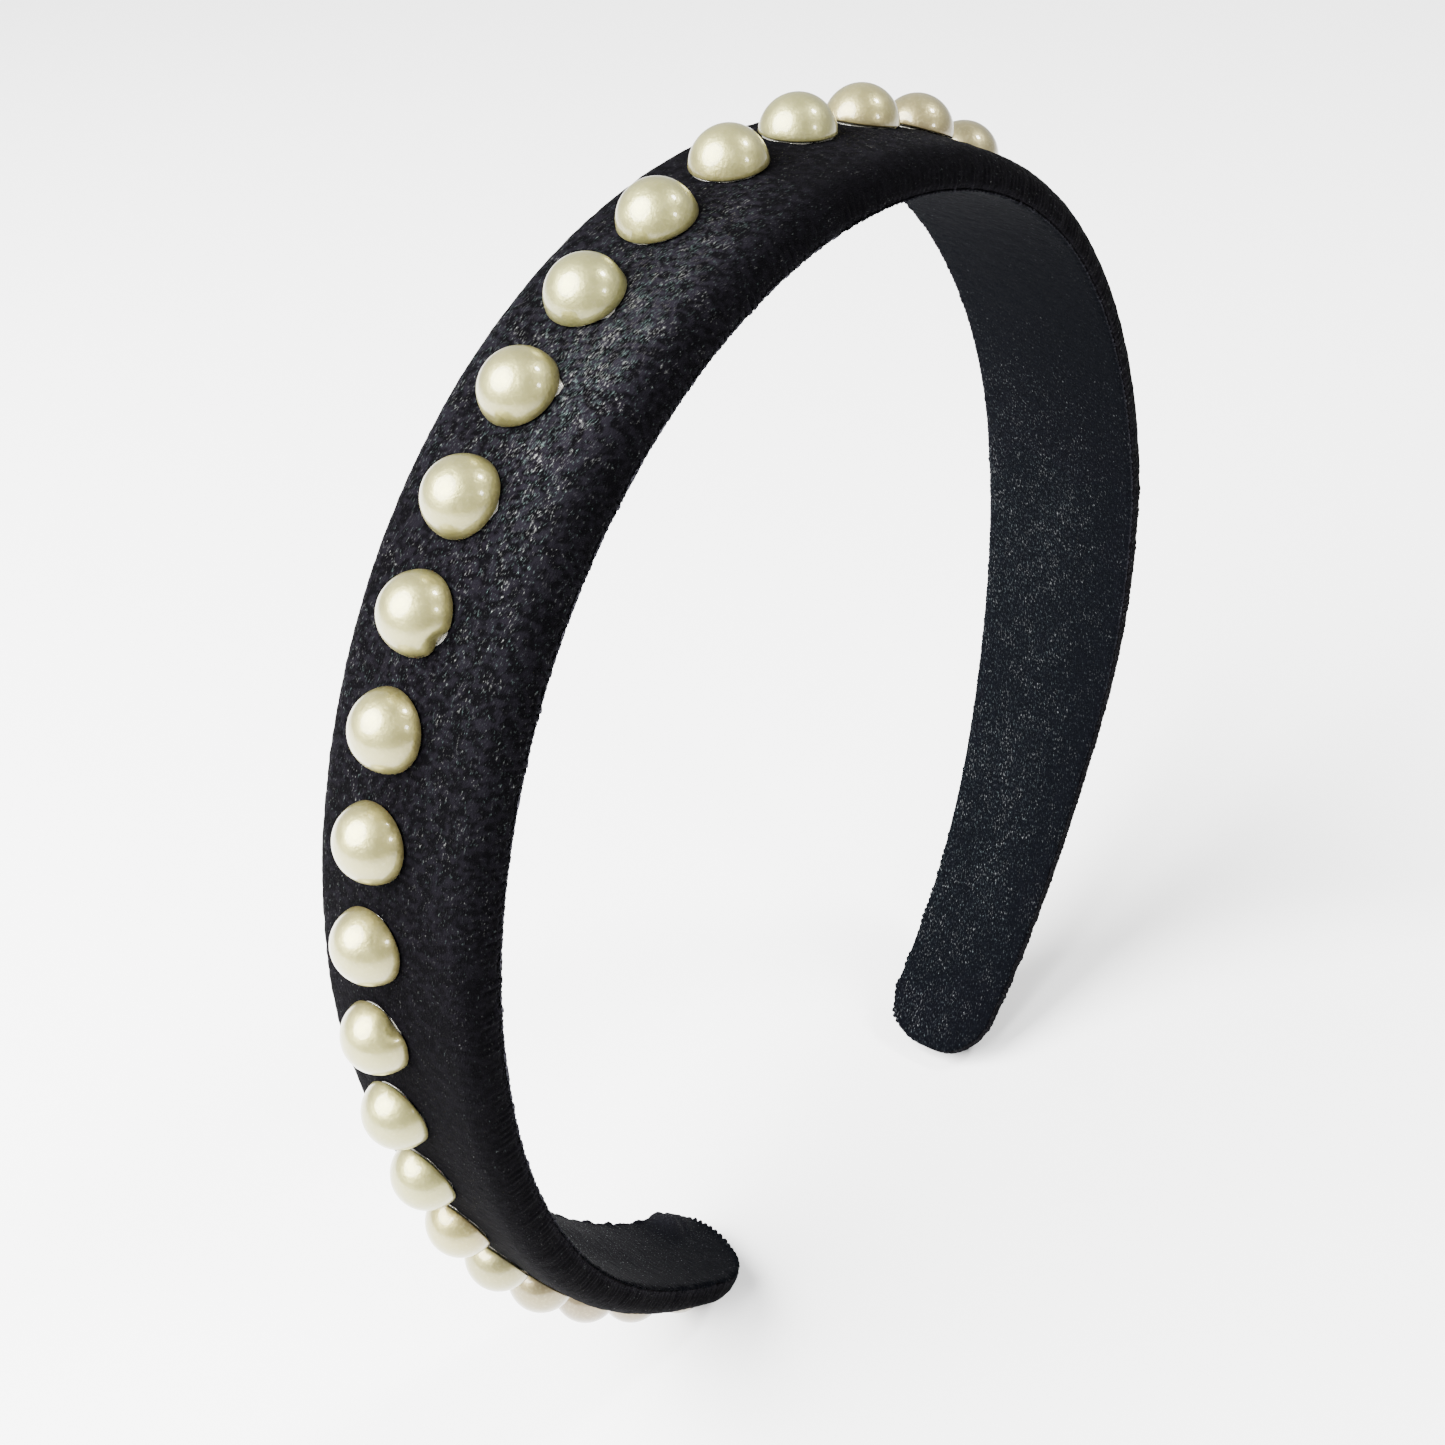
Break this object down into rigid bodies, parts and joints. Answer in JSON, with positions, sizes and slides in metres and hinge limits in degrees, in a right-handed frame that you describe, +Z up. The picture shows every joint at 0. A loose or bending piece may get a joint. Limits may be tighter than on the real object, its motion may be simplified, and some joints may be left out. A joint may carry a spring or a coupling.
{
  "type": "headband",
  "caption": "Padded velvet headband: a springy arch with rounded, curled-in tips and one row of flat-backed half pearls along its outer face.",
  "frame": {"origin": "centre of the crown's arc, half way across the band's width: the middle of the seat for the head", "axes": "+Z up through the top of the crown as the band is worn, X from ear to ear with +X at the right arm, -Y to the front of the head and +Y to the back; the pearl row lies a little towards +Y"},
  "size_m": [0.1376, 0.022, 0.1521],
  "materials": {
    "velvet_cover": "black short-pile velvet with a soft sheen",
    "velvet_lining": "black short-pile velvet, pressed, with bluish glints",
    "sponge_pad": "closed-cell foam sponge",
    "core_strip": "moulded, springy",
    "glue": "clear glue, set",
    "half_pearl": "ivory pearlescent coating"
  },
  "bodies": {
    "crown": {"cover_crown": "velvet_cover", "pad_crown": "sponge_pad", "core_crown": "core_strip", "lining_crown": "velvet_lining", "glue_crown": "glue", "pearl_13": "half_pearl", "pearl_14": "half_pearl", "pearl_15": "half_pearl", "pearl_16": "half_pearl", "pearl_17": "half_pearl", "pearl_18": "half_pearl", "pearl_19": "half_pearl", "pearl_20": "half_pearl", "pearl_21": "half_pearl", "pearl_22": "half_pearl", "pearl_23": "half_pearl"},
    "left_arm": {"cover_left_arm": "velvet_cover", "pad_left_arm": "sponge_pad", "core_left_arm": "core_strip", "lining_left_arm": "velvet_lining", "glue_left_arm": "glue", "pearl_01": "half_pearl", "pearl_02": "half_pearl", "pearl_03": "half_pearl", "pearl_04": "half_pearl", "pearl_05": "half_pearl", "pearl_06": "half_pearl", "pearl_07": "half_pearl", "pearl_08": "half_pearl", "pearl_09": "half_pearl", "pearl_10": "half_pearl", "pearl_11": "half_pearl", "pearl_12": "half_pearl"},
    "right_arm": {"cover_right_arm": "velvet_cover", "pad_right_arm": "sponge_pad", "core_right_arm": "core_strip", "lining_right_arm": "velvet_lining", "glue_right_arm": "glue", "pearl_24": "half_pearl", "pearl_25": "half_pearl", "pearl_26": "half_pearl", "pearl_27": "half_pearl", "pearl_28": "half_pearl", "pearl_29": "half_pearl", "pearl_30": "half_pearl", "pearl_31": "half_pearl", "pearl_32": "half_pearl", "pearl_33": "half_pearl", "pearl_34": "half_pearl", "pearl_35": "half_pearl"}
  },
  "joints": [
    {"name": "crown_to_left_arm", "type": "hinge", "parent": "crown", "child": "left_arm", "pos_m": [-0.05135, 0, 0.03475], "axis": [0, 1, 0], "range_deg": [0, 15], "stiffness_Nm_per_rad": 1.9},
    {"name": "crown_to_right_arm", "type": "hinge", "parent": "crown", "child": "right_arm", "pos_m": [0.05135, 0, 0.03475], "axis": [0, -1, 0], "range_deg": [0, 15], "stiffness_Nm_per_rad": 1.9}
  ]
}
